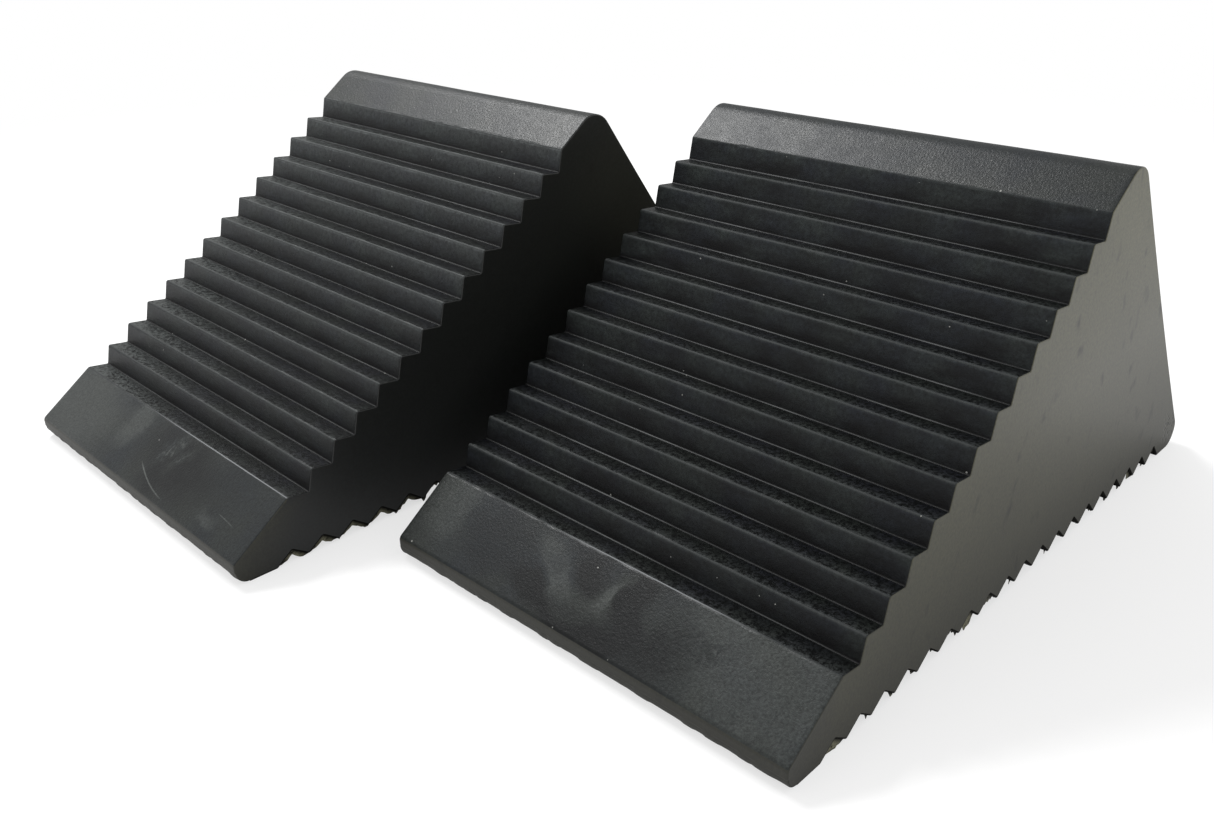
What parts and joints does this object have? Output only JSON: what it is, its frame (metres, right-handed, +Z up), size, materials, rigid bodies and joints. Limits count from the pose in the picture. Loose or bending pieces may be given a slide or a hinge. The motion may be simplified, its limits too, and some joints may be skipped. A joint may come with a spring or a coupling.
{
  "type": "wheel chock pair",
  "caption": "Pair of loose solid rubber wheel chocks: wedges with a stepped ramp for the tyre and a toothed, slightly arched underside that grips the ground.",
  "frame": {"origin": "on the floor, under the middle of the pair's bounding box", "axes": "+X from the toe to the heel of the right chock, +Y across the widths from the right chock to the left one, +Z up"},
  "size_m": [0.2448, 0.274, 0.1015],
  "materials": {
    "rubber": "moulded black rubber, satin on the lips and caps and dusty in the grooves"
  },
  "bodies": {
    "right": {"right_chock": "rubber"},
    "left": {"left_chock": "rubber"}
  },
  "joints": [
    {"name": "left_chock_draws_away", "type": "slide", "parent": "right", "child": "left", "axis": [0, 1, 0], "range_m": [0, 0.2]}
  ]
}
